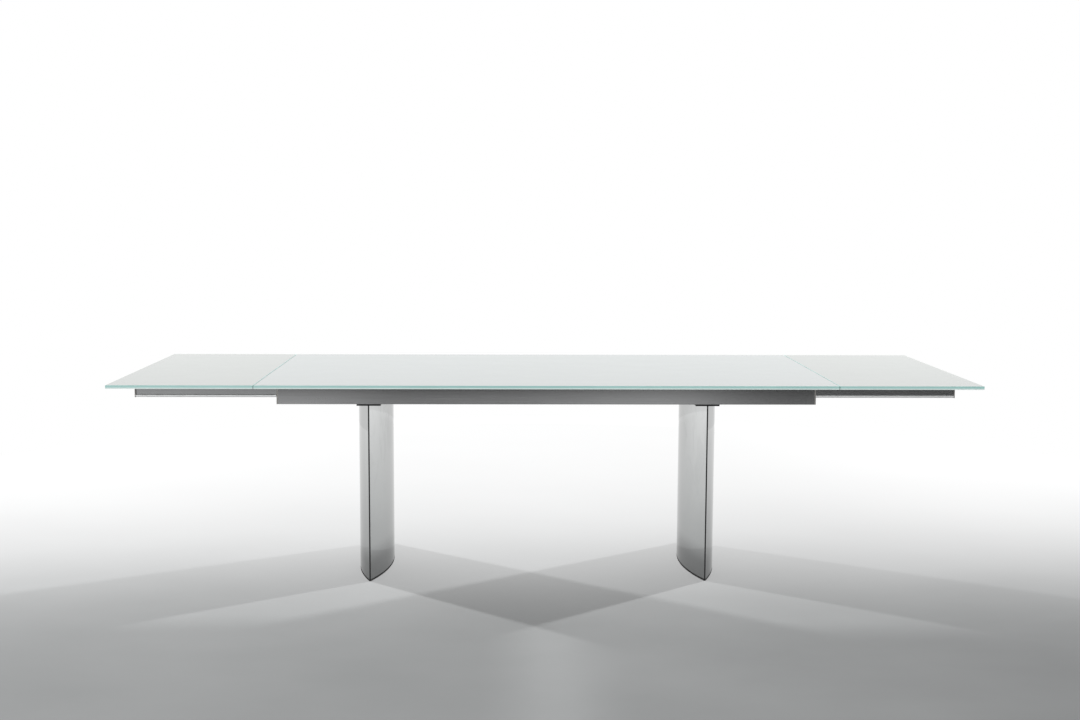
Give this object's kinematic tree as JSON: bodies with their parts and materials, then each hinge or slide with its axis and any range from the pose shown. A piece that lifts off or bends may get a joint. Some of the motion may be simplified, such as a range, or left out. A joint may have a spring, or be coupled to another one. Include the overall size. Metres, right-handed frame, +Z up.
{
  "type": "extendable dining table",
  "caption": "Long dining table with a fixed glass top on lens-shaped mirror legs, pull-out rails at both ends and lift-off glass leaves.",
  "frame": {"origin": "on the floor, under the middle of the fully extended top", "axes": "+X along the length towards the right-hand leaf, +Y towards the rear long side, +Z up"},
  "size_m": [3, 1, 0.735],
  "materials": {
    "pane_glass": "white back-painted, polished edges",
    "beam_metal": "satin anodised",
    "beam_cap": "dark satin",
    "rail_metal": "satin, brushed lengthwise",
    "rod_steel": "polished",
    "leg_mirror": "mirror polished",
    "black_steel": "satin black powder coat",
    "black_foot": "matt black",
    "fastener": "zinc plated",
    "disc_metal": "turned",
    "nylon": "natural nylon",
    "soft_pad": "soft black rubber"
  },
  "bodies": {
    "frame": {"central_top": "pane_glass", "front_beam_face": "beam_metal", "front_beam_flanges": "beam_metal", "front_beam_lips": "beam_metal", "rear_beam_face": "beam_metal", "rear_beam_flanges": "beam_metal", "rear_beam_lips": "beam_metal", "beam_end_caps": "beam_cap", "crossbar_plates": "black_steel", "leg_ribs": "black_steel", "leg_base_plates": "black_steel", "leg_bolts": "fastener", "leg_nuts": "fastener", "crossbar_screws": "fastener", "top_posts": "disc_metal", "top_discs": "disc_metal", "top_screws": "fastener", "top_pads": "soft_pad", "rail_side_guides": "nylon", "rail_stops": "nylon", "mouth_roller_pins": "fastener", "left_leg_crossbar": "black_steel", "left_end_crossbar": "black_steel", "left_leg_outer_skin": "leg_mirror", "left_leg_inner_skin": "leg_mirror", "left_leg_core": "black_steel", "left_leg_shoe": "black_foot", "right_leg_crossbar": "black_steel", "right_end_crossbar": "black_steel", "right_leg_outer_skin": "leg_mirror", "right_leg_inner_skin": "leg_mirror", "right_leg_core": "black_steel", "right_leg_shoe": "black_foot"},
    "left_rails": {"left_front_rail": "rail_metal", "left_rear_rail": "rail_metal", "left_running_rods": "rod_steel", "left_rail_end_caps": "beam_cap", "left_end_bar": "rail_metal", "left_tail_forks": "disc_metal", "left_tail_pins": "fastener", "left_tail_skids": "nylon"},
    "left_leaf_panel": {"left_leaf": "pane_glass", "left_leaf_shoes": "disc_metal", "left_leaf_grips": "soft_pad"},
    "left_mouth_roller_pair": {"left_mouth_rollers": "nylon"},
    "left_tail_roller_pair": {"left_tail_rollers": "nylon"},
    "right_rails": {"right_front_rail": "rail_metal", "right_rear_rail": "rail_metal", "right_running_rods": "rod_steel", "right_rail_end_caps": "beam_cap", "right_end_bar": "rail_metal", "right_tail_forks": "disc_metal", "right_tail_pins": "fastener", "right_tail_skids": "nylon"},
    "right_leaf_panel": {"right_leaf": "pane_glass", "right_leaf_shoes": "disc_metal", "right_leaf_grips": "soft_pad"},
    "right_mouth_roller_pair": {"right_mouth_rollers": "nylon"},
    "right_tail_roller_pair": {"right_tail_rollers": "nylon"}
  },
  "joints": [
    {"name": "left_rails_slide", "type": "slide", "parent": "frame", "child": "left_rails", "axis": [1, 0, 0], "range_m": [0, 0.485]},
    {"name": "left_leaf_lift_off", "type": "slide", "parent": "frame", "child": "left_leaf_panel", "axis": [0, 0, 1], "range_m": [0, 0.2]},
    {"name": "left_mouth_roller_spin", "type": "hinge", "parent": "frame", "child": "left_mouth_roller_pair", "pos_m": [-0.912, 0, 0.6777], "axis": [0, 1, 0], "range_deg": [-3200, 3200]},
    {"name": "left_tail_roller_spin", "type": "hinge", "parent": "left_rails", "child": "left_tail_roller_pair", "pos_m": [-0.593, 0, 0.7067], "axis": [0, 1, 0], "range_deg": [-3000, 3000]},
    {"name": "right_rails_slide", "type": "slide", "parent": "frame", "child": "right_rails", "axis": [-1, 0, 0], "range_m": [0, 0.485]},
    {"name": "right_leaf_lift_off", "type": "slide", "parent": "frame", "child": "right_leaf_panel", "axis": [0, 0, 1], "range_m": [0, 0.2]},
    {"name": "right_mouth_roller_spin", "type": "hinge", "parent": "frame", "child": "right_mouth_roller_pair", "pos_m": [0.912, 0, 0.6777], "axis": [0, 1, 0], "range_deg": [-3200, 3200]},
    {"name": "right_tail_roller_spin", "type": "hinge", "parent": "right_rails", "child": "right_tail_roller_pair", "pos_m": [0.593, 0, 0.7067], "axis": [0, 1, 0], "range_deg": [-3000, 3000]}
  ],
  "couplings": [
    {"joint": "left_mouth_roller_spin", "follows": "left_rails_slide", "rad_per_m": 111.11},
    {"joint": "left_tail_roller_spin", "follows": "left_rails_slide", "rad_per_m": -100},
    {"joint": "right_mouth_roller_spin", "follows": "right_rails_slide", "rad_per_m": -111.11},
    {"joint": "right_tail_roller_spin", "follows": "right_rails_slide", "rad_per_m": 100}
  ]
}
